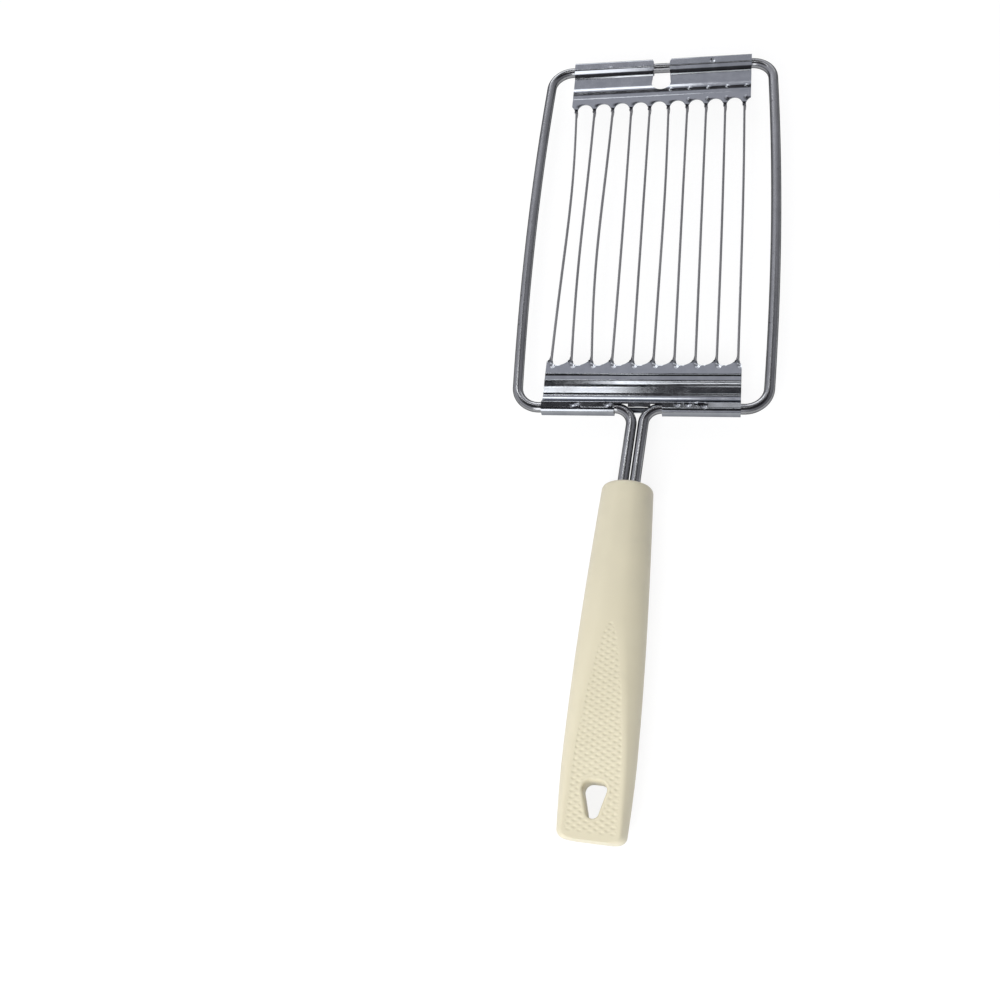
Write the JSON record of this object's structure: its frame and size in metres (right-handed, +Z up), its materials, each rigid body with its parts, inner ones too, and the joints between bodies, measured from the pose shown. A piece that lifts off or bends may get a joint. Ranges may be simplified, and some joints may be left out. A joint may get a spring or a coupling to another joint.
{
  "type": "tomato slicer",
  "caption": "Hand tomato slicer: parallel upright blades strung between rolled rails on a bent wire frame, with a cream plastic handle and a hang hole.",
  "frame": {"origin": "centre of the bounding box at its bottom, on the table plane under the neck", "axes": "+X across the blades to the right, +Y from the handle's heel towards the far rail, +Z up off the table, out of the cutting side"},
  "size_m": [0.082, 0.2628, 0.0144],
  "materials": {
    "chromed_wire": "bright plated steel wire, slightly dulled",
    "rail_steel": "polished pressed sheet",
    "blade_steel": "fine ground strip steel",
    "cream_plastic": "cream moulded plastic, satin, with a fine woven texture on the front flat"
  },
  "bodies": {
    "root": {"frame_wire": "chromed_wire", "upper_rail": "rail_steel", "lower_rail": "rail_steel", "blade_01": "blade_steel", "blade_02": "blade_steel", "blade_03": "blade_steel", "blade_04": "blade_steel", "blade_05": "blade_steel", "blade_06": "blade_steel", "blade_07": "blade_steel", "blade_08": "blade_steel", "blade_09": "blade_steel", "blade_10": "blade_steel", "handle": "cream_plastic"}
  },
  "joints": []
}
